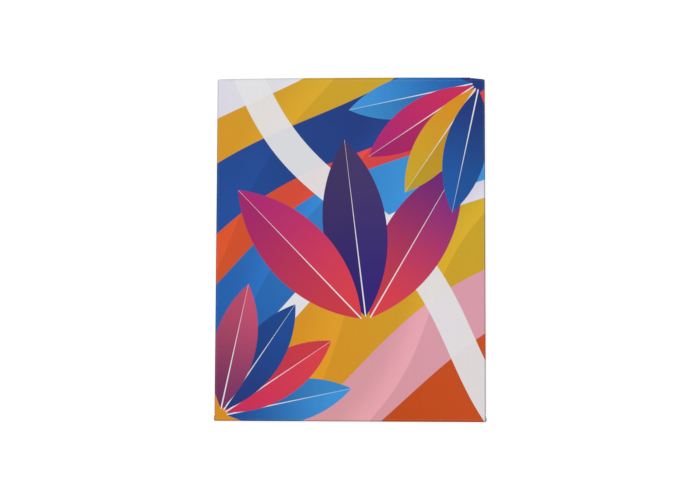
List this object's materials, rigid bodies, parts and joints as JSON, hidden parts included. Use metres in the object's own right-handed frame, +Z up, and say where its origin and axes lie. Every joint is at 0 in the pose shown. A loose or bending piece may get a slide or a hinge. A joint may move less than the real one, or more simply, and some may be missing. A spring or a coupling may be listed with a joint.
{
  "type": "mailing envelope",
  "caption": "Flat mailing envelope of printed board, with an open pocket behind a folded closing flap with tear strip and peel-and-seal adhesive.",
  "frame": {"origin": "centre of the bounding box's bottom, on the surface that the envelope lies on", "axes": "+Z up out of the printed front, +Y towards the top fold with the closing flap, +X to the right of the printed front"},
  "size_m": [0.23, 0.2922, 0.0052],
  "materials": {
    "printed_board": "satin",
    "adhesive_tape": "satin",
    "liner_paper": "satin",
    "tear_film": "gloss"
  },
  "bodies": {
    "root": {"folded_board": "printed_board", "adhesive_strip": "adhesive_tape", "release_liner": "liner_paper", "tear_tape": "tear_film"}
  },
  "joints": []
}
